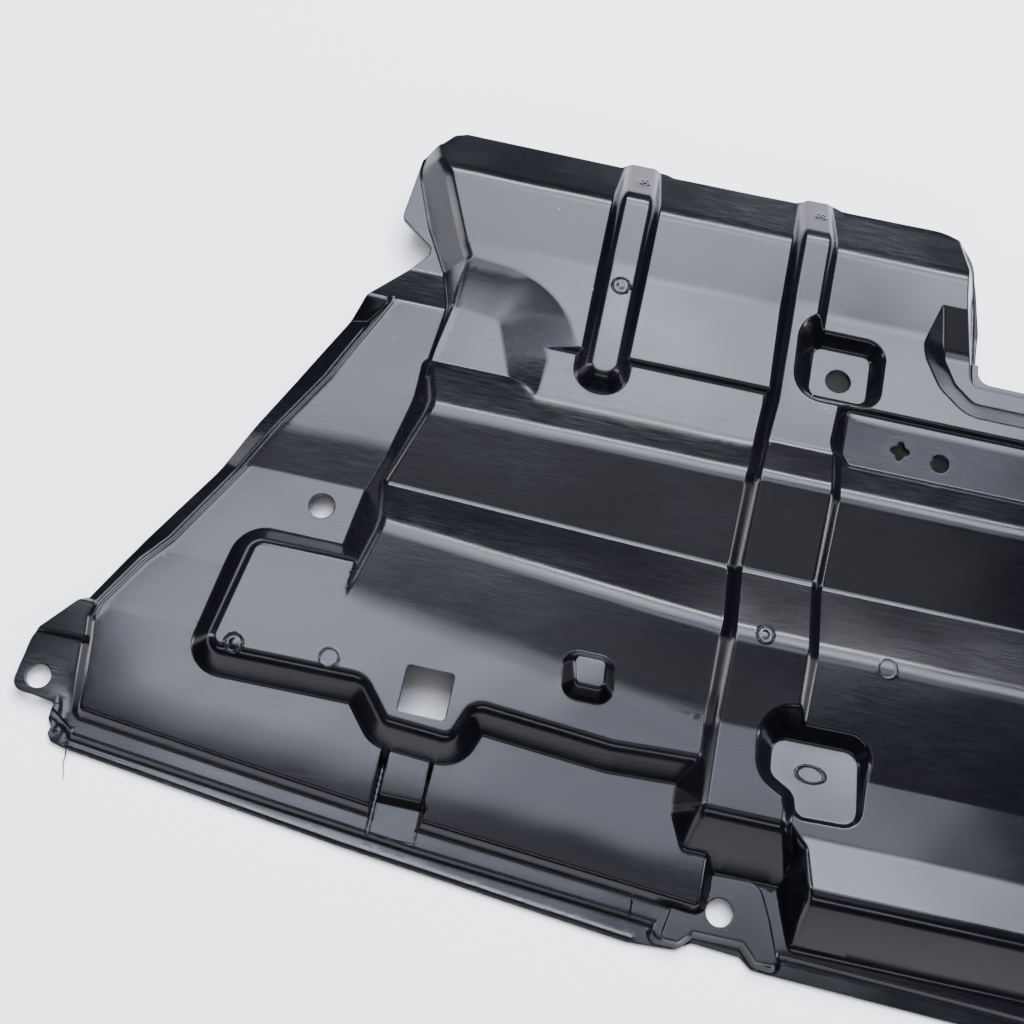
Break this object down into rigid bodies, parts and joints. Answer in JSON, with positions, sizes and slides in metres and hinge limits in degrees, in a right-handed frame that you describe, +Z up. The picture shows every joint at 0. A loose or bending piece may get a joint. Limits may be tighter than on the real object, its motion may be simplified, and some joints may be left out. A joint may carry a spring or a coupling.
{
  "type": "engine splash shield",
  "caption": "Moulded plastic engine splash shield: a thin ribbed and folded tray with flanged edges, bolt tabs and drain holes.",
  "frame": {"origin": "middle of the sheet across and fore and aft, on the surface that it lies on", "axes": "+X across the vehicle, +Y to the shield's rear edge, +Z up from the surface, towards the engine"},
  "size_m": [1.0172, 0.395, 0.0479],
  "materials": {
    "black_plastic": "satin black moulded polyethylene with fine lateral rub marks"
  },
  "bodies": {
    "root": {"splash_shield": "black_plastic"}
  },
  "joints": []
}
